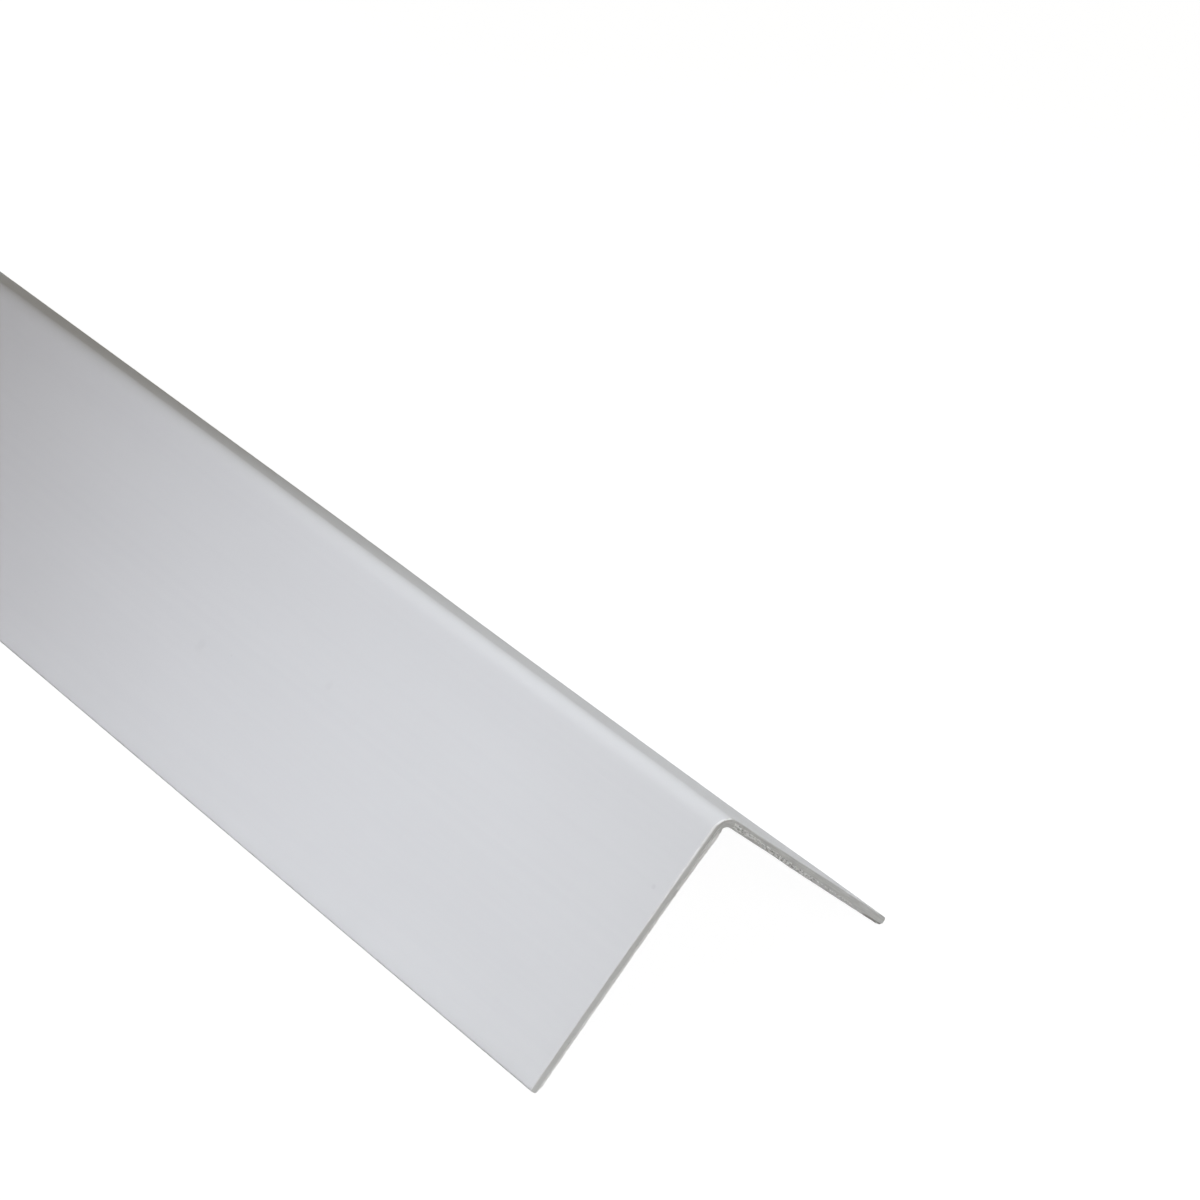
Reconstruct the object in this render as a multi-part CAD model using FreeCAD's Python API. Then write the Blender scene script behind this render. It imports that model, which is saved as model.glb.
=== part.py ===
# Corner guard moulding: one extruded strip with two equal legs at a right angle.
# It lies as a tent: the rounded nose is up, and both free edges rest on the floor.
# Frame, in millimetres: +X runs along the strip, +Z is up, and the two legs spread towards -Y and +Y.
import FreeCAD
import Part
import math
import os

# Driving dimensions
length = 1200.0            # stock length, square cut at both ends
leg_width = 50.0           # from the sharp outer corner of the section to a free edge, both legs alike
wall = 1.5                 # thickness of both legs, and of the nose
nose_inner_radius = 1.5    # round in the inside corner; the outside round has the same centre
edge_round = 0.4           # small round on the two corners of each free edge

# Sizes that follow from them
nose_outer_radius = nose_inner_radius + wall
half_turn = math.sqrt(0.5)
# Height of the sharp outer corner above the floor, so that the rounded inner corners of the free edges touch it.
apex_height = (leg_width + wall) * half_turn - edge_round * (math.sqrt(2.0) - 1.0)


def at(u, v):
    """A point of the section: u runs down the -Y leg from the sharp outer corner, v down the +Y leg."""
    return FreeCAD.Vector(0.0, (v - u) * half_turn, apex_height - (u + v) * half_turn)


def line(a, b):
    return Part.makeLine(at(*a), at(*b))


def arc(centre, radius, start, end):
    """The short arc about centre from the angle start to the angle end, in degrees, measured from u to v."""
    def on(angle):
        turn = math.radians(angle)
        return at(centre[0] + radius * math.cos(turn), centre[1] + radius * math.sin(turn))
    return Part.Arc(on(start), on((start + end) / 2.0), on(end)).toShape()


def section():
    """The closed L outline, as one face across the strip."""
    free = leg_width - edge_round
    near = edge_round
    far = wall - edge_round
    nose = nose_outer_radius
    outline = []
    # The -Y leg: outer face, rounded free edge, inner face.
    outline.append(line((nose, 0.0), (free, 0.0)))
    outline.append(arc((free, near), edge_round, -90.0, 0.0))
    outline.append(line((leg_width, near), (leg_width, far)))
    outline.append(arc((free, far), edge_round, 0.0, 90.0))
    outline.append(line((free, wall), (nose, wall)))
    # The round of the inside corner.
    outline.append(arc((nose, nose), nose_inner_radius, 270.0, 180.0))
    # The +Y leg: inner face, rounded free edge, outer face.
    outline.append(line((wall, nose), (wall, free)))
    outline.append(arc((far, free), edge_round, 0.0, 90.0))
    outline.append(line((far, leg_width), (near, leg_width)))
    outline.append(arc((near, free), edge_round, 90.0, 180.0))
    outline.append(line((0.0, free), (0.0, nose)))
    # The nose.
    outline.append(arc((nose, nose), nose_outer_radius, 180.0, 270.0))
    return Part.Face(Part.Wire(Part.__sortEdges__(outline)))


def corner_guard():
    """The section, drawn out along the strip from one cut end to the other."""
    face = section()
    face.translate(FreeCAD.Vector(-length / 2.0, 0.0, 0.0))
    return face.extrude(FreeCAD.Vector(length, 0.0, 0.0))


os.makedirs("parts", exist_ok=True)
corner_guard().exportStep("parts/corner_guard.step")
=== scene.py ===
# Corner guard moulding: one white plastic angle strip, lying nose up on a pale floor.
# Metres, in the part's frame: +X runs along the strip towards its photographed end, and +Z is up.
# Throughout, s is the signed distance from the nose along the section, + on the +Y leg, and depth is the
# distance into the wall from its outer face. side is 1 at the photographed end and -1 at the far end.
import bmesh
import bpy
import math
import random
from collections import namedtuple
from mathutils import Euler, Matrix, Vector, noise


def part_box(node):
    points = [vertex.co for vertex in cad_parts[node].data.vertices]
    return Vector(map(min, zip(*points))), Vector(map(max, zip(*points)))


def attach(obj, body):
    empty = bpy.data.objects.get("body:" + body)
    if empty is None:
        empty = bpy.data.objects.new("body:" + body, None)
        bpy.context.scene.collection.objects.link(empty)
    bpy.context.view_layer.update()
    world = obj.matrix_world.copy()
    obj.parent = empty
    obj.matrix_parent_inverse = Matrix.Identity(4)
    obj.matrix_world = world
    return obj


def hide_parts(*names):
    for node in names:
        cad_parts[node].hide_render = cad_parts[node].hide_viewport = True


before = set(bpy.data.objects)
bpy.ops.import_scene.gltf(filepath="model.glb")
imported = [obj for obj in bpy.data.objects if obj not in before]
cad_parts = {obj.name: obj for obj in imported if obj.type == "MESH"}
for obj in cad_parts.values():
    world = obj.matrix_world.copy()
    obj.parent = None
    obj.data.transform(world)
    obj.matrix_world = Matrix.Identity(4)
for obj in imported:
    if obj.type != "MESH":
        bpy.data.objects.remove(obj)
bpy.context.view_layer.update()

# The section
NODE = "corner_guard"
WALL = 0.0015              # thickness of both legs
NOSE_INNER = 0.0015        # round in the inside corner
NOSE_OUTER = NOSE_INNER + WALL
EDGE_ROUND = 0.0004        # round on the corners of the free edges
HALF_TURN = math.sqrt(0.5)
LOW, HIGH = (Vector(corner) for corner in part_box(NODE))
# Width of a leg, from the section's sharp outer corner to the free edge, and the height of that corner
LEG = HIGH.y * math.sqrt(2.0) + EDGE_ROUND * (2.0 - math.sqrt(2.0))
APEX = HIGH.z + NOSE_OUTER * (math.sqrt(2.0) - 1.0)

# How far the walls stray from flat
CROWN = 0.00015            # the -Y leg swells outwards by this much midway
NOSE_ASIDE = 0.00025       # the nose lies this far to the +Y side of the middle, and both legs follow it
WAVE = 0.00004             # depth of the slow waves in every face
WAVE_LENGTH = 0.11         # their length along the strip
WAVE_WIDTH = 0.021         # and their width across a leg
DRAWN_IN = 0.0003          # the free edge of the +Y leg leans in by this much behind the photographed end
DRAWN_FROM = (0.008, 0.040)    # the lean grows over this stretch, counted from that end
DRAWN_TO = (0.090, 0.150)      # and it fades over this one

# How finely the mesh follows it
TIP_STEPS = 3              # along the round of a free edge
LEG_STEPS = 22             # across a flat leg
NOSE_STEPS = 10            # round the nose
ACROSS = 3                 # through the wall
FINER = 10                 # times as fine, at the two cut ends
COLLAR = (0.0016, 0.0009, 0.0004)   # rows of fine mesh, counted from the cut
FIRST_STEP = 0.0012        # along the strip, next to the collar
STEP_GROWTH = 1.25         # each next step is this many times as long
LONG_STEP = 0.006          # up to this one, which goes on between the two ends
GROWTH_REACH = 0.11        # the steps grow over this distance from each end
SHARP_ANGLE = 32.0         # edges that turn by more than this, in degrees, are shaded as sharp

# The cut ends. seed is for the noise on each of them, and draws for its loose shavings.
End = namedtuple("End", "x side seed draws")
ENDS = (End(HIGH.x, 1.0, 60.0, 11), End(LOW.x, -1.0, -60.0, 23))
SAW_RECESS = 0.00018       # the cut face lies this far inside the strip's full length, under its burr
SAW_MARK = 0.00003         # depth of the marks that the blade left
BROAD_MARK = (0.005, 0.00016)      # length along the section and width in the wall of the broad marks
FINE_MARK = (0.0016, 0.00008)      # the same for the fine ones between them
BROAD_SHARE, FINE_SHARE = 0.6, 0.4
EDGE_WEAR = 0.00014        # the outer edge of the cut is worn round by this much, twice as much at the nose
NOSE_WEAR_TO = (0.001, 0.004)      # the added wear fades over this stretch, counted from the nose
RIM_WEAR = 0.0002          # the -Y leg is worn by this much more beside the nose
RIM_FROM, RIM_TO = (0.001, 0.003), (0.008, 0.026)      # where that begins and ends, counted from the nose
INNER_BREAK = 0.00016      # the inner edge of the +Y leg is broken away by this much
BREAK_FROM = (0.006, 0.030)        # where that begins, counted from the nose
BREAK_WIDTH = (0.0003, 0.00005)    # it deepens between these distances from the inner face
CHIP = 0.00014             # height of the torn plastic
PIT = 0.00006              # depth of the pits beside it

# The burr along the inner edge of the -Y leg, and what is like it elsewhere
BURR_FROM = 0.00122        # it begins at this depth in the wall, and stands highest at the inner edge
BURR_RISE = 0.00003        # how far it stands out there
BURR_RISE_MORE = 3.0       # near the nose this many times that is added
BURR_RISE_TO = (0.014, 0.006)      # the added height grows over this stretch, towards the nose
BURR_LEAN = 0.00026        # how far it leans over the inner edge
BURR_LEAN_FROM = (0.0005, 0.002)   # where that begins, counted from the nose
BURR_LEAN_MORE = 0.5       # it leans this share further beside the nose
BURR_LEAN_TO = (0.004, 0.007)      # and the added lean ends here
OTHER_BURR = 0.5           # the +Y leg has this share of the lean
OTHER_BURR_FROM = (0.014, 0.024)   # where that begins, counted from the nose
CHIP_LEAN = 0.00006        # how far torn plastic leans over elsewhere
CHIP_LEAN_FROM = (0.0, 0.3)        # how torn a place is where it begins to lean, and where it leans fully
LEAN_ROWS = 4              # rows of points that lean, counted from the inner edge
LEAN_END = (0.0003, 0.0016)        # the lean ends over this stretch, counted from the free edge
SLOW_RAG = (0.0016, 0.3)   # length and force of the slower changes along the ragged edge
FAST_RAG = (0.0005, 0.35)  # the same for the faster ones

# Where the saw tore the plastic, from s = start to s = end. depth, width and force are given for both
# ends. lean is above 0 where most of the tear stands up pale, and below 0 where most of it is pitted;
# the pits are painted dark, as painted shade.
Tear = namedtuple("Tear", "start end depth width force lean")
TEARS = (
    Tear(-0.0022, -0.0140, (0.00141, 0.00141), (0.00028, 0.00027), (1.00, 0.95), 1.30),
    Tear(-0.0125, -0.0520, (0.00141, 0.00142), (0.00026, 0.00024), (0.80, 0.95), 1.10),
    Tear(-0.0010, -0.0160, (0.00119, 0.00121), (0.00008, 0.00006), (1.00, 0.50), -1.00),
    Tear(-0.0140, -0.0500, (0.00121, 0.00123), (0.00006, 0.00006), (0.40, 0.50), -0.60),
    Tear(-0.0006, -0.0150, (0.00101, 0.00104), (0.00018, 0.00010), (1.00, 0.40), 1.20),
    Tear(-0.0010, -0.0120, (0.00080, 0.00084), (0.00010, 0.00008), (0.90, 0.30), -1.00),
    Tear(-0.0260, 0.0045, (0.00010, 0.00010), (0.00016, 0.00024), (0.30, 0.75), 1.30),
    Tear(-0.0050, 0.0035, (0.00040, 0.00040), (0.00007, 0.00007), (0.35, 0.30), -0.80),
    Tear(0.0028, 0.0120, (0.00084, 0.00086), (0.00090, 0.00050), (0.95, 1.00), 0.55),
    Tear(0.0105, 0.0250, (0.00076, 0.00102), (0.00022, 0.00020), (1.00, 0.90), 0.60),
    Tear(0.0110, 0.0300, (0.00112, 0.00124), (0.00056, 0.00040), (0.80, 0.50), 0.25),
    Tear(0.0240, 0.0420, (0.00102, 0.00126), (0.00018, 0.00014), (0.90, 0.60), 0.40),
    # The next two darken the inner edge of the +Y cut towards its free edge, as painted shade
    Tear(0.0120, 0.0490, (0.00146, 0.00144), (0.00010, 0.00020), (0.25, 0.35), -1.20),
    Tear(0.0435, 0.0570, (0.00142, 0.00138), (0.00020, 0.00034), (0.50, 1.00), -1.20),
)
TEAR_WANDER = 0.00006      # how far a tear strays from its line
WANDER_LENGTH = 0.0021     # over this distance
TEAR_BORDER = 0.00008      # width of its soft border
TEAR_FADE = 0.15           # share of its length over which it sets in, and fades
FLAKE_FORCE = 1.5          # how strongly it breaks up into flakes
FLAKE_LENGTH, FLAKE_WIDTH = 0.0007, 0.00024
FRAYED_MOST = 1.3          # how frayed a tear is that leans neither way
FRAYED_LEAST = 0.2         # and how frayed any tear is at least

# The loose shavings. A pair is a range, from which each shaving draws its own value.
SHREDS = 34                # on each end
SHRED_CLEAR = 4            # rungs beside the rounds of the free edges that carry none
SHRED_DEPTH = 0.95         # share of the wall at which a place is tested for tears
SHRED_TORN = (0.15, 0.7)   # it carries a shaving where it is torn by more than this
SHRED_INWARD = (-0.25, 0.35)       # a shaving runs along the edge, turned inwards by this share
SHRED_BACKWARD = (0.0, 0.3)        # and back along the strip by this one
SHRED_ROOT = (0.00005, 0.0003)     # distance of its root from the inner face
SHRED_PROUD = 0.00002      # height of its root above the saw's plane
SHRED_FACES_IN = (0.3, 1.0)        # how much its flat side faces inwards
SHRED_FACES_OUT = 0.4      # against how much it faces out of the cut
SHRED_LENGTH = (0.0004, 0.0013)
SHRED_WIDTH = (0.00010, 0.00024)
SHRED_CURL = (0.00004, 0.00012)    # how far it lifts as it curls
SHRED_ARC = 0.8            # share of half a turn that the curl takes
SHRED_TAPER = 0.38         # share of its width that each side loses towards the tip
SHRED_HALF_THICK = 0.00003
SHRED_STEPS = 4

# Numbers that keep one noise unlike another
OUTER_FACE, INNER_FACE = 0.0, 7.0
FLAKES, FINE_MARKS = 5.0, 20.0
SLOW_LINE, FAST_LINE = 9.0, 19.0

SAWN = 1                   # the strip's second material, for the cuts and the shavings

Rung = namedtuple("Rung", "outer inner s")
Damage = namedtuple("Damage", "torn frayed")
Layers = namedtuple("Layers", "torn frayed section")


def clamp(value, low=0.0, high=1.0):
    return min(max(value, low), high)


def smooth(value, low, high):
    """A soft step from 0 at low to 1 at high. It also runs the other way, where low is the higher one."""
    t = clamp((value - low) / (high - low))
    return t * t * (3.0 - 2.0 * t)


def between(pair, t):
    return pair[0] + (pair[1] - pair[0]) * t


def grain(x, y, z):
    return noise.noise(Vector((x, y, z)))


def at(u, v, x=0.0):
    """A point of the section: u runs down the -Y leg from the sharp outer corner, v down the +Y leg."""
    return Vector((x, (v - u) * HALF_TURN, APEX - (u + v) * HALF_TURN))


def tip_pair(t):
    """The outer and inner points round the free edge of the -Y leg, from its end, t = 0, to t = 1."""
    turn = t * math.pi / 2.0
    u = LEG - EDGE_ROUND + EDGE_ROUND * math.cos(turn)
    inset = EDGE_ROUND - EDGE_ROUND * math.sin(turn)
    return (u, inset), (u, WALL - inset)


def flat_pair(t):
    """The same on the flat of the -Y leg, up to the nose."""
    u = (LEG - EDGE_ROUND) * (1.0 - t) + NOSE_OUTER * t
    return (u, 0.0), (u, WALL)


def nose_pair(t):
    """The same round the nose, to the flat of the +Y leg."""
    turn = math.radians(270.0 - 90.0 * t)
    cos, sin = math.cos(turn), math.sin(turn)
    return tuple((NOSE_OUTER + r * cos, NOSE_OUTER + r * sin) for r in (NOSE_OUTER, NOSE_INNER))


def mirrored(pair):
    """The same stretch on the +Y leg, run the other way."""
    def other(t):
        (outer_u, outer_v), (inner_u, inner_v) = pair(1.0 - t)
        return (outer_v, outer_u), (inner_v, inner_u)
    return other


STRETCHES = (
    (tip_pair, TIP_STEPS),
    (flat_pair, LEG_STEPS),
    (nose_pair, NOSE_STEPS),
    (mirrored(flat_pair), LEG_STEPS),
    (mirrored(tip_pair), TIP_STEPS),
)


def rung_of(pair):
    """One rung through the wall, with the crown of the -Y leg."""
    (u, v), inner = pair
    outer, inner = at(u, v), at(*inner)
    s = v - u
    swell = (outer - inner).normalized() * CROWN * math.sin(math.pi * clamp(-s / LEG))
    return Rung(outer + swell, inner + swell, s)


def ladder(finer):
    """The rungs from the free edge of the -Y leg over the nose to the other free edge."""
    pairs = []
    for stretch, steps in STRETCHES:
        count = steps * finer
        pairs += [stretch(i / count) for i in range(count)]
    pairs.append(STRETCHES[-1][0](1.0))
    return [rung_of(pair) for pair in pairs]


def wave(x, s, seed):
    """How far a face lies under its true place here: slow, and drawn out along the strip."""
    return WAVE * (0.5 + 0.5 * grain(x / WAVE_LENGTH, s / WAVE_WIDTH, seed))


def drawn_in(x, s):
    """How far the +Y leg leans in here, level with the floor: nothing at the nose, most at its free edge."""
    back = HIGH.x - x
    edge = DRAWN_IN * smooth(back, *DRAWN_FROM) * (1.0 - smooth(back, *DRAWN_TO))
    return Vector((0.0, -edge * max(s, 0.0) / LEG, 0.0))


def column(rung, x, across):
    """Points through the wall on one rung, from the outer face to the inner one."""
    outward = (rung.outer - rung.inner).normalized()
    lean = drawn_in(x, rung.s)
    a = rung.outer - outward * wave(x, rung.s, OUTER_FACE) + lean
    b = rung.inner + outward * wave(x, rung.s, INNER_FACE) + lean
    points = [a.lerp(b, j / across) for j in range(across + 1)]
    for point in points:
        point.x = x
        point.y += NOSE_ASIDE * point.z / HIGH.z
    return points


def outline(columns):
    """The closed loop round a row of columns: outer faces, free edge, inner faces, free edge."""
    outer = [c[0] for c in columns]
    inner = [c[-1] for c in reversed(columns)]
    return outer + columns[-1][1:-1] + inner + list(reversed(columns[0][1:-1]))


def join_loops(bm, a, b):
    """Faces between two closed loops, where b may have a whole number of times the points of a."""
    times = len(b) // len(a)
    for i in range(len(a)):
        j = (i + 1) % len(a)
        row = [b[(i * times + k) % len(b)] for k in range(times + 1)]
        bm.faces.new([a[i], a[j], *reversed(row)])


def stations():
    """Places along the strip, close together towards the cut ends."""
    inset = SAW_RECESS + COLLAR[0]
    first, last = LOW.x + inset, HIGH.x - inset
    steps = []
    gap, reached = FIRST_STEP, 0.0
    while reached < GROWTH_REACH:
        steps.append(reached)
        reached += gap
        gap = min(gap * STEP_GROWTH, LONG_STEP)
    middle = (last - first) - 2.0 * reached
    count = int(middle / LONG_STEP)
    xs = [first + step for step in steps]
    xs += [first + reached + middle * i / count for i in range(count + 1)]
    xs += [last - step for step in reversed(steps)]
    return xs


def damage(s, depth, seed):
    """
    How the saw left this place of a cut. torn is up to 1 where plastic stands up pale, and down to -1 in
    a pit, which is painted dark as shade. frayed is how much fine flaking there is on top of that, up to 1.
    """
    torn = frayed = 0.0
    for tear in TEARS:
        t = (s - tear.start) / (tear.end - tear.start)
        if not 0.0 < t < 1.0:
            continue
        line = between(tear.depth, t) + TEAR_WANDER * grain(s / WANDER_LENGTH, 0.0, seed)
        half = between(tear.width, t) / 2.0
        inside = smooth(half + TEAR_BORDER / 2.0 - abs(depth - line), 0.0, TEAR_BORDER)
        inside *= smooth(t, 0.0, TEAR_FADE) * smooth(1.0 - t, 0.0, TEAR_FADE) * between(tear.force, t)
        flakes = grain(s / FLAKE_LENGTH, (depth - line) / FLAKE_WIDTH, seed + FLAKES)
        torn += inside * clamp(FLAKE_FORCE * flakes + tear.lean, -1.0)
        frayed += inside * max(FRAYED_MOST - abs(tear.lean), FRAYED_LEAST)
    return Damage(clamp(torn, -1.0), min(frayed, 1.0))


def worn_back(s, depth):
    """How far the worn, rounded outer edge of a cut lies back here."""
    wear = EDGE_WEAR * (2.0 - smooth(abs(s), *NOSE_WEAR_TO))
    wear += RIM_WEAR * smooth(-s, *RIM_FROM) * (1.0 - smooth(-s, *RIM_TO))
    rim = max(1.0 - depth / wear, 0.0)
    return wear * (1.0 - math.sqrt(1.0 - rim * rim))


def stands_out(s, depth, torn, seed):
    """How far a cut face stands out of the saw's plane here."""
    broad = grain(s / BROAD_MARK[0], depth / BROAD_MARK[1], seed)
    fine = grain(s / FINE_MARK[0], depth / FINE_MARK[1], seed + FINE_MARKS)
    height = SAW_MARK * (BROAD_SHARE * broad + FINE_SHARE * fine)
    height -= worn_back(s, depth)
    raised = max(torn, 0.0)
    if s < 0.0:
        rise = BURR_RISE * (1.0 + BURR_RISE_MORE * smooth(-s, *BURR_RISE_TO))
        height += rise * raised * clamp((depth - BURR_FROM) / (WALL - BURR_FROM))
    else:
        height += CHIP * raised
        start, full = (WALL - distance for distance in BREAK_WIDTH)
        height -= INNER_BREAK * smooth(s, *BREAK_FROM) * smooth(depth, start, full)
    return min(height - PIT * max(-torn, 0.0), SAW_RECESS)


def overhang(s, torn):
    """How far the inner edge of a cut leans over the hollow, with its burr or with torn plastic."""
    beside_nose = 1.0 + BURR_LEAN_MORE * (1.0 - smooth(-s, *BURR_LEAN_TO))
    burr = beside_nose * smooth(-s, *BURR_LEAN_FROM)
    other = OTHER_BURR * smooth(s, *OTHER_BURR_FROM)
    return max(BURR_LEAN * max(burr, other), CHIP_LEAN * smooth(torn, *CHIP_LEAN_FROM))


def raggedness(s, seed):
    """How much of the overhang there is here. It comes and goes, and it ends near the free edges."""
    ragged = 1.0
    for (length, force), line in ((SLOW_RAG, SLOW_LINE), (FAST_RAG, FAST_LINE)):
        ragged += force * grain(s / length, line, seed)
    return ragged * smooth(LEG - abs(s), *LEAN_END)


def cut_column(rung, end, across):
    """One rung's points on a cut face, and the damage at each of them."""
    points = column(rung, end.x - end.side * SAW_RECESS, across)
    depths = [WALL * j / across for j in range(across + 1)]
    damages = [damage(rung.s, depth, end.seed) for depth in depths]
    for point, depth, here in zip(points, depths, damages):
        point.x += end.side * stands_out(rung.s, depth, here.torn, end.seed)
    inward = (rung.inner - rung.outer).normalized()
    lean = overhang(rung.s, damages[-2].torn)
    ragged = raggedness(rung.s, end.seed)
    for row in range(1, LEAN_ROWS + 1):
        share = (LEAN_ROWS + 1 - row) / LEAN_ROWS
        points[-row] += inward * lean * ragged * share
    return points, damages


def cap(bm, layers, fine, ring, end):
    """The cut face: one column of points on each rung, joined to the last ring of the walls."""
    across = ACROSS * FINER
    grid = []
    for rung in fine:
        points, damages = cut_column(rung, end, across)
        verts = [bm.verts.new(p) for p in points]
        for j, (vert, here) in enumerate(zip(verts, damages)):
            vert[layers.torn] = here.torn
            vert[layers.frayed] = here.frayed
            vert[layers.section] = (rung.s, WALL * j / across, end.side)
        grid.append(verts)
    join_loops(bm, ring, outline(grid))
    for a, b in zip(grid, grid[1:]):
        for j in range(across):
            bm.faces.new((a[j], a[j + 1], b[j + 1], b[j])).material_index = SAWN


def shred(bm, layers, root, along, up, length, width, curl):
    """A shaving: a closed, tapering strip that runs along from its root and curls up."""
    sections = []
    for k in range(SHRED_STEPS + 1):
        t = k / SHRED_STEPS
        centre = root + along * length * t + up * curl * math.sin(math.pi * t * SHRED_ARC)
        half = width * (0.5 - SHRED_TAPER * t)
        side = along.cross(up).normalized() * half
        thick = up * SHRED_HALF_THICK
        left, right = centre - side, centre + side
        corners = (left - thick, right - thick, right + thick, left + thick)
        sections.append([bm.verts.new(c) for c in corners])
    faces = [bm.faces.new(reversed(sections[0])), bm.faces.new(sections[-1])]
    for a, b in zip(sections, sections[1:]):
        faces += [bm.faces.new((a[i], a[(i + 1) % 4], b[(i + 1) % 4], b[i])) for i in range(4)]
    for face in faces:
        face.material_index = SAWN
        for vert in face.verts:
            vert[layers.torn] = 1.0


def add_shreds(bm, layers, fine, end):
    """Loose shavings along the inner edge of one cut, mostly where it is torn most."""
    chance = random.Random(end.draws)
    outward = Vector((end.side, 0.0, 0.0))
    margin = TIP_STEPS * FINER + SHRED_CLEAR
    placed = 0
    while placed < SHREDS:
        i = chance.randrange(margin, len(fine) - margin)
        rung = fine[i]
        if damage(rung.s, WALL * SHRED_DEPTH, end.seed).torn < chance.uniform(*SHRED_TORN):
            continue
        placed += 1
        way = chance.choice((-1.0, 1.0))
        tangent = (fine[i + 1].inner - fine[i - 1].inner).normalized() * way
        inward = (rung.inner - rung.outer).normalized()
        along = tangent + inward * chance.uniform(*SHRED_INWARD)
        along = (along - outward * chance.uniform(*SHRED_BACKWARD)).normalized()
        root = rung.inner - inward * chance.uniform(*SHRED_ROOT)
        root.x = end.x - end.side * (SAW_RECESS - SHRED_PROUD)
        up = (inward * chance.uniform(*SHRED_FACES_IN) + outward * SHRED_FACES_OUT).normalized()
        up = (up - along * up.dot(along)).normalized()
        sizes = [chance.uniform(*span) for span in (SHRED_LENGTH, SHRED_WIDTH, SHRED_CURL)]
        shred(bm, layers, root, along, up, *sizes)


def build_strip():
    """The whole strip as one mesh: the long walls, and at each end a fine collar, the cut and shavings."""
    bm = bmesh.new()
    for name in ("torn", "frayed"):
        bm.verts.layers.float.new(name)
    bm.verts.layers.float_vector.new("section")
    floats = bm.verts.layers.float
    layers = Layers(floats["torn"], floats["frayed"], bm.verts.layers.float_vector["section"])
    coarse, fine = ladder(1), ladder(FINER)

    def loop_at(rungs, x, across):
        return [bm.verts.new(p) for p in outline([column(rung, x, across) for rung in rungs])]

    loops = [loop_at(coarse, x, ACROSS) for x in stations()]
    for a, b in zip(loops, loops[1:]):
        join_loops(bm, a, b)
    for end, last in zip(ENDS, (loops[-1], loops[0])):
        for distance in COLLAR:
            ring = loop_at(fine, end.x - end.side * (SAW_RECESS + distance), ACROSS * FINER)
            join_loops(bm, last, ring)
            last = ring
        cap(bm, layers, fine, last, end)
        add_shreds(bm, layers, fine, end)
    bmesh.ops.recalc_face_normals(bm, faces=bm.faces)
    mesh = bpy.data.meshes.new("corner_guard_strip")
    bm.to_mesh(mesh)
    bm.free()
    mesh.set_sharp_from_angle(angle=math.radians(SHARP_ANGLE))
    return mesh


def node_of(tree, kind, **settings):
    node = tree.nodes.new(kind)
    for name, value in settings.items():
        setattr(node, name, value)
    return node


class Graph:
    """A material's nodes, with short ways to add the few kinds that the materials here are made of."""

    def __init__(self, name):
        self.material = bpy.data.materials.new(name)
        self.material.use_nodes = True
        self.tree = self.material.node_tree
        self.shader = self.tree.nodes["Principled BSDF"]
        self.place = self.add("ShaderNodeTexCoord").outputs["Object"]

    def add(self, kind, **settings):
        return node_of(self.tree, kind, **settings)

    def put(self, socket, value):
        """Link another node's output to a socket, or give it a plain value."""
        if isinstance(value, bpy.types.NodeSocket):
            self.tree.links.new(value, socket)
        else:
            socket.default_value = value

    def set_shader(self, name, value):
        self.put(self.shader.inputs[name], value)

    def combine(self, operation, a, b):
        node = self.add("ShaderNodeMath", operation=operation)
        self.put(node.inputs[0], a)
        self.put(node.inputs[1], b)
        return node.outputs[0]

    def axis(self, place, name):
        node = self.add("ShaderNodeSeparateXYZ")
        self.put(node.inputs[0], place)
        return node.outputs[name]

    def stretched(self, *scale, place=None):
        """Places on the object, or other places, times a number of cells per metre for each axis."""
        node = self.add("ShaderNodeMapping")
        self.put(node.inputs["Vector"], place or self.place)
        self.put(node.inputs["Scale"], scale)
        return node.outputs[0]

    def noise(self, place, scale=1.0, detail=2.0, curl=0.0):
        node = self.add("ShaderNodeTexNoise")
        self.put(node.inputs["Distortion"], curl)
        self.put(node.inputs["Vector"], place)
        self.put(node.inputs["Scale"], scale)
        self.put(node.inputs["Detail"], detail)
        return node.outputs[0]

    def fade(self, value, low, high, start=0.0, finish=1.0):
        """A soft step from start to finish, as value goes from low to high."""
        node = self.add("ShaderNodeMapRange", interpolation_type="SMOOTHSTEP")
        self.put(node.inputs["Value"], value)
        self.put(node.inputs["From Min"], low)
        self.put(node.inputs["From Max"], high)
        self.put(node.inputs["To Min"], start)
        self.put(node.inputs["To Max"], finish)
        return node.outputs[0]

    def mix(self, factor, a, b):
        """Colour a where factor is 0, and colour b where it is 1."""
        node = self.add("ShaderNodeMix", data_type="RGBA")
        self.put(node.inputs[0], factor)
        self.put(node.inputs[6], a)
        self.put(node.inputs[7], b)
        return node.outputs[2]

    def stain(self, below, cover, strength, colour):
        """A colour laid over another one where cover is above 0, at most with the given strength."""
        return self.mix(self.combine("MULTIPLY", cover, strength), below, colour)

    def bump(self, height, distance, below=None):
        node = self.add("ShaderNodeBump")
        self.put(node.inputs["Height"], height)
        self.put(node.inputs["Distance"], distance)
        if below is not None:
            self.put(node.inputs["Normal"], below)
        return node.outputs[0]

    def spot(self, centre, reach, ragged):
        """1 at centre, fading to 0 at about reach metres from it, with an uneven border."""
        node = self.add("ShaderNodeVectorMath", operation="DISTANCE")
        self.put(node.inputs[0], self.place)
        self.put(node.inputs[1], centre)
        edge = self.combine("MULTIPLY", ragged, reach)
        distance = self.combine("ADD", node.outputs["Value"], edge)
        return self.fade(distance, low=reach * 0.4, high=reach * 1.3, start=1.0, finish=0.0)


def opaque(red, green, blue):
    return red, green, blue, 1.0
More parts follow.
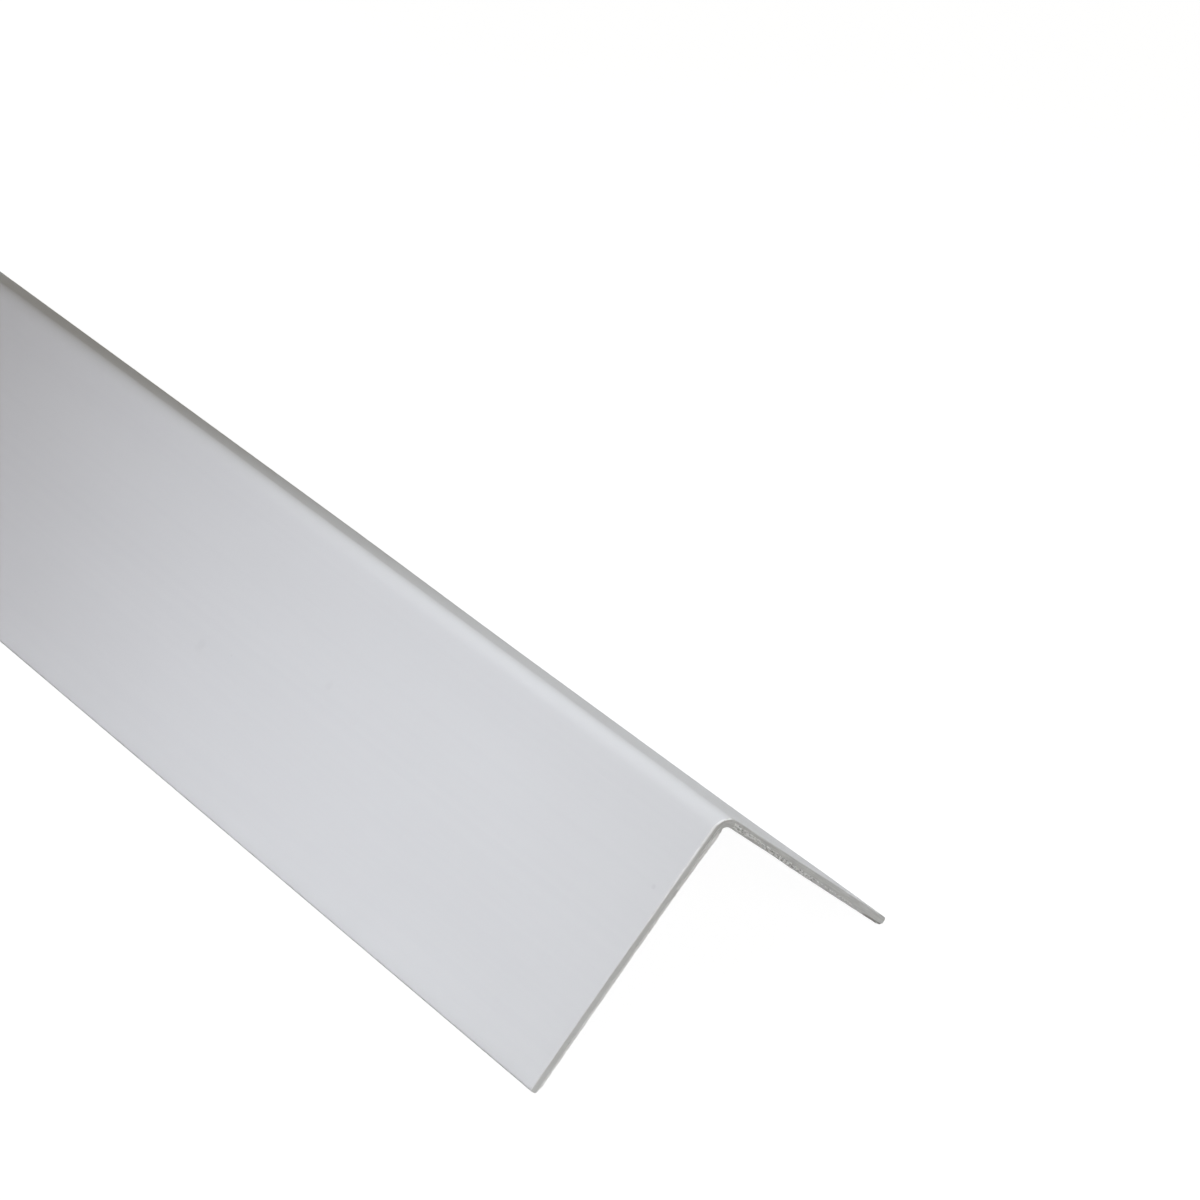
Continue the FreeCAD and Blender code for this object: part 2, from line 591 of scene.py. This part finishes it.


# Colours of the satin plastic, of what lies on it, and of the painted shade at its free edges
SATIN, SATIN_PALE = opaque(0.752, 0.752, 0.754), opaque(0.768, 0.768, 0.770)
DIE_LINE = opaque(0.70, 0.70, 0.715)
DUST = opaque(0.42, 0.40, 0.37)
FAINT = opaque(0.35, 0.35, 0.36)
# Painted shade, laid on the lowest parts of the free edges
PAINTED_EDGE_SHADE = opaque(0.52, 0.51, 0.48)
PAINTED_UNDER_SHADE = opaque(0.30, 0.295, 0.28)

# Colours of the cuts
SAWN_DARK, SAWN_PALE = opaque(0.62, 0.615, 0.60), opaque(0.76, 0.755, 0.735)
SAWN_GRAIN = opaque(0.56, 0.55, 0.53)
# Painted light, for the paler cut of the -Y leg
SAWN_PAINTED_LIGHT = opaque(0.80, 0.795, 0.775)
# The pits get a dark colour as painted shade
TORN_PALE, PIT_SHADE = opaque(0.93, 0.925, 0.905), opaque(0.36, 0.35, 0.33)

# Faint marks on the -Y leg. u is the distance from the nose, and back the one from the photographed end.
Mark = namedtuple("Mark", "u back reach strength")
MARKS = (
    Mark(0.0288, 0.1096, 0.0011, 0.055),
    Mark(0.0211, 0.0804, 0.0008, 0.045),
    Mark(0.0149, 0.0031, 0.0004, 0.10),
)


def handled_and_shaded(g, colour):
    """The colour with specks of dust and faint marks, and painted shade on the lowest parts of the free
    edges.
    """
    cells = g.add("ShaderNodeTexVoronoi")
    g.put(cells.inputs["Vector"], g.place)
    g.put(cells.inputs["Scale"], 75.0)
    dots = g.fade(cells.outputs["Distance"], low=0.010, high=0.022, start=1.0, finish=0.0)
    few = g.fade(g.noise(g.place, scale=260.0, detail=0.0), low=0.52, high=0.60)
    colour = g.stain(colour, g.combine("MULTIPLY", dots, few), 0.30, DUST)
    ragged = g.combine("SUBTRACT", g.noise(g.place, scale=1400.0, detail=3.0), 0.5)
    for mark in MARKS:
        spot = g.spot(at(mark.u, 0.0, HIGH.x - mark.back), mark.reach, ragged)
        colour = g.stain(colour, spot, mark.strength, FAINT)
    # Painted shade: the free edges are darkened near the floor, on their rounds and just above
    height = g.axis(g.place, "Z")
    edge_shade = g.fade(height, low=0.0006, high=0.0014, start=1.0, finish=0.0)
    colour = g.stain(colour, edge_shade, 0.35, PAINTED_EDGE_SHADE)
    # More painted shade below the middle of the outer round, where it faces the floor
    middle = APEX - LEG * HALF_TURN
    under_shade = g.fade(height, low=middle - 0.00006, high=middle + 0.00008, start=1.0, finish=0.0)
    return g.stain(colour, under_shade, 0.60, PAINTED_UNDER_SHADE)


def white_pvc():
    """Extruded rigid plastic: satin, with fine lines along the strip, orange peel and some wear."""
    g = Graph("white_pvc")
    blotches = g.fade(g.noise(g.stretched(14.0, 40.0, 40.0), detail=3.0), low=0.3, high=0.7)
    colour = g.mix(blotches, SATIN, SATIN_PALE)
    # Fine lines that the die leaves along the strip
    die = g.noise(g.stretched(1.5, 900.0, 900.0), detail=3.0)
    colour = g.mix(g.fade(die, low=0.35, high=0.65, finish=0.10), colour, DIE_LINE)
    g.set_shader("Base Color", handled_and_shaded(g, colour))
    # Drawn-out streaks of duller and glossier plastic, and hairline scratches
    streaks = g.noise(g.stretched(9.0, 260.0, 260.0), detail=3.0)
    hairs = g.fade(g.noise(g.stretched(60.0, 2600.0, 1400.0), detail=1.0), low=0.70, high=0.76)
    satin = g.fade(streaks, low=0.25, high=0.75, start=0.72, finish=0.84)
    g.set_shader("Roughness", g.combine("ADD", satin, g.combine("MULTIPLY", hairs, 0.12)))
    g.set_shader("Specular IOR Level", 0.12)
    normal = g.bump(g.noise(g.place, scale=420.0), distance=0.000014)
    normal = g.bump(die, distance=0.000006, below=normal)
    g.set_shader("Normal", g.bump(hairs, distance=-0.000004, below=normal))
    return g.material


def sawn_pvc():
    """The same plastic where the saw went through: dull, streaked, and pale where it tore."""
    g = Graph("sawn_pvc")
    # Saw marks that follow the section: long along it, and narrow through the wall
    section = g.add("ShaderNodeAttribute", attribute_name="section").outputs["Vector"]
    marks = g.noise(g.stretched(260.0, 4200.0, 9.0, place=section), detail=3.0)
    colour = g.mix(g.fade(marks, low=0.3, high=0.7), SAWN_DARK, SAWN_PALE)
    grains = g.noise(g.place, scale=5200.0)
    colour = g.mix(g.fade(grains, low=0.40, high=0.75, finish=0.40), colour, SAWN_GRAIN)
    # Painted light: the cut of the -Y leg is painted a little paler, for the stronger light from the -Y side
    along = g.axis(section, "X")
    colour = g.mix(g.fade(along, low=0.002, high=-0.006, finish=0.5), colour, SAWN_PAINTED_LIGHT)
    # Torn plastic, and pits painted dark as shade, broken up into flakes where it is frayed
    torn = g.add("ShaderNodeAttribute", attribute_name="torn").outputs["Fac"]
    frayed = g.add("ShaderNodeAttribute", attribute_name="frayed").outputs["Fac"]
    flakes = g.noise(g.stretched(1700.0, 3800.0, 9.0, place=section), curl=1.0)
    flakes = g.combine("MULTIPLY", g.combine("SUBTRACT", flakes, 0.5), 9.0)
    torn = g.combine("ADD", torn, g.combine("MULTIPLY", frayed, flakes))
    colour = g.mix(g.fade(torn, low=0.10, high=0.60), colour, TORN_PALE)
    colour = g.mix(g.fade(torn, low=-0.10, high=-0.80), colour, PIT_SHADE)
    g.set_shader("Base Color", colour)
    g.set_shader("Roughness", g.fade(grains, low=0.3, high=0.7, start=0.75, finish=0.95))
    g.set_shader("Specular IOR Level", 0.25)
    normal = g.bump(torn, distance=0.00003, below=g.bump(marks, distance=0.00002))
    g.set_shader("Normal", g.bump(grains, distance=0.00002, below=normal))
    return g.material


def make_strip():
    mesh = build_strip()
    strip = bpy.data.objects.new("corner_guard_strip", mesh)
    bpy.context.scene.collection.objects.link(strip)
    mesh.materials.append(white_pvc())
    mesh.materials.append(sawn_pvc())
    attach(strip, "root")
    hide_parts(NODE)


# The floor and the air. Both are white to what looks at them, and dimmer as a source of light.
FLOOR_HALF = 4.0
FLOOR_LIT = opaque(0.72, 0.72, 0.72)
FLOOR_SEEN = opaque(0.15, 0.15, 0.15)      # it keeps the strip's shadow
FLOOR_GLOW = 0.972                         # and this brings it up to white
AIR_COLOUR = opaque(1.0, 0.90, 0.70)
AIR_STRENGTH = 0.147
WHITE = opaque(1.0, 1.0, 1.0)


def seen_directly(tree):
    """1 where the camera, a reflection or a clear material looks at it, 0 for the light that it gives."""
    path = node_of(tree, "ShaderNodeLightPath")
    seen = path.outputs["Is Camera Ray"]
    for ray in ("Is Glossy Ray", "Is Transmission Ray"):
        either = node_of(tree, "ShaderNodeMath", operation="MAXIMUM")
        tree.links.new(seen, either.inputs[0])
        tree.links.new(path.outputs[ray], either.inputs[1])
        seen = either.outputs[0]
    return seen


def finish_tree(tree, lit, seen, output):
    """One shader for the light that falls on things, and another for what is seen directly."""
    mix = node_of(tree, "ShaderNodeMixShader")
    out = node_of(tree, output)
    tree.links.new(seen_directly(tree), mix.inputs[0])
    tree.links.new(lit.outputs[0], mix.inputs[1])
    tree.links.new(seen.outputs[0], mix.inputs[2])
    tree.links.new(mix.outputs[0], out.inputs[0])


def shader(tree, kind, **values):
    """A shader node with plain values on its sockets."""
    node = node_of(tree, kind)
    for name, value in values.items():
        node.inputs[name].default_value = value
    return node


def make_floor():
    corners = [(x * FLOOR_HALF, y * FLOOR_HALF, 0.0) for x, y in ((-1, -1), (1, -1), (1, 1), (-1, 1))]
    mesh = bpy.data.meshes.new("floor")
    mesh.from_pydata(corners, [], [(0, 1, 2, 3)])
    floor = bpy.data.objects.new("floor", mesh)
    bpy.context.scene.collection.objects.link(floor)
    material = bpy.data.materials.new("pale_floor")
    material.use_nodes = True
    tree = material.node_tree
    tree.nodes.clear()
    lit = shader(tree, "ShaderNodeBsdfDiffuse", Color=FLOOR_LIT)
    dim = shader(tree, "ShaderNodeBsdfDiffuse", Color=FLOOR_SEEN)
    glow = shader(tree, "ShaderNodeEmission", Strength=FLOOR_GLOW)
    seen = node_of(tree, "ShaderNodeAddShader")
    tree.links.new(dim.outputs[0], seen.inputs[0])
    tree.links.new(glow.outputs[0], seen.inputs[1])
    finish_tree(tree, lit, seen, "ShaderNodeOutputMaterial")
    mesh.materials.append(material)


def make_world():
    world = bpy.data.worlds.new("world")
    bpy.context.scene.world = world
    world.use_nodes = True
    tree = world.node_tree
    tree.nodes.clear()
    air = shader(tree, "ShaderNodeBackground", Color=AIR_COLOUR, Strength=AIR_STRENGTH)
    white = shader(tree, "ShaderNodeBackground", Color=WHITE, Strength=1.0)
    finish_tree(tree, air, white, "ShaderNodeOutputWorld")


# The camera, placed from the sharp outer corner of the photographed cut, and turned by these degrees
CAMERA_FROM_CORNER = Vector((0.3531, -0.3149, 0.3397))
CAMERA_TURN = (57.339, -1.462, 51.538)
LENS_MM = 118.04
SENSOR_MM = 36.0


def make_camera():
    data = bpy.data.cameras.new("camera")
    data.lens = LENS_MM
    data.sensor_width = SENSOR_MM
    camera = bpy.data.objects.new("camera", data)
    camera.location = Vector((HIGH.x - SAW_RECESS, 0.0, APEX)) + CAMERA_FROM_CORNER
    camera.rotation_euler = Euler([math.radians(a) for a in CAMERA_TURN], "XYZ")
    bpy.context.scene.collection.objects.link(camera)
    bpy.context.scene.camera = camera


# The light of the photograph: soft and cool from above the cut end and from the -Y side, fading along the
# strip, and weak from the +Y side and from the front. Two long soft lamps light the rest of the strip.
# place and aim are counted from the floor under the nose at the photographed end. spread is in degrees.
Lamp = namedtuple("Lamp", "name place aim size power spread colour")
CLEAR, COOL = (0.91, 0.965, 0.995), (0.84, 0.86, 0.98)
PALE, EVEN = (0.95, 0.97, 1.0), (0.93, 0.95, 0.99)
LAMPS = (
    Lamp("overhead_near", (-0.01, 0.0, 0.48), (-0.01, 0.0, 0.02), (0.22, 0.22), 0.056, 27.0, CLEAR),
    Lamp("overhead_wide", (-0.03, 0.0, 0.48), (-0.03, 0.0, 0.02), (0.31, 0.31), 0.056, 38.0, CLEAR),
    Lamp("left_side", (-0.093, -0.32, 0.34), (-0.093, 0.0, 0.0), (0.30, 0.22), 0.094, 38.0, COOL),
    Lamp("right_side", (0.02, 0.30, 0.36), (0.02, 0.0, 0.0), (0.25, 0.22), 0.030, 30.0, COOL),
    Lamp("front", (0.80, -0.10, 0.30), (0.0, 0.0, 0.0), (0.60, 0.60), 1.50, 180.0, PALE),
    Lamp("long_left", (-0.79, -0.20, 0.50), (-0.79, 0.0, 0.0), (1.03, 0.20), 0.40, 14.0, EVEN),
    Lamp("long_right", (-0.83, 0.26, 0.46), (-0.83, 0.0, 0.0), (0.95, 0.20), 0.30, 28.0, EVEN),
)


def from_end(x, y, z):
    return Vector((HIGH.x + x, y, z))


def make_lamp(lamp):
    data = bpy.data.lights.new(lamp.name, "AREA")
    data.shape = "RECTANGLE"
    data.size, data.size_y = lamp.size
    data.energy = lamp.power
    data.spread = math.radians(lamp.spread)
    data.color = lamp.colour
    holder = bpy.data.objects.new(lamp.name, data)
    place, aim = from_end(*lamp.place), from_end(*lamp.aim)
    holder.location = place
    holder.rotation_euler = (aim - place).to_track_quat("-Z", "Y").to_euler()
    holder.visible_camera = False
    bpy.context.scene.collection.objects.link(holder)


make_camera()
make_world()
make_floor()
make_strip()
for lamp in LAMPS:
    make_lamp(lamp)

bpy.context.scene.view_settings.view_transform = "Standard"
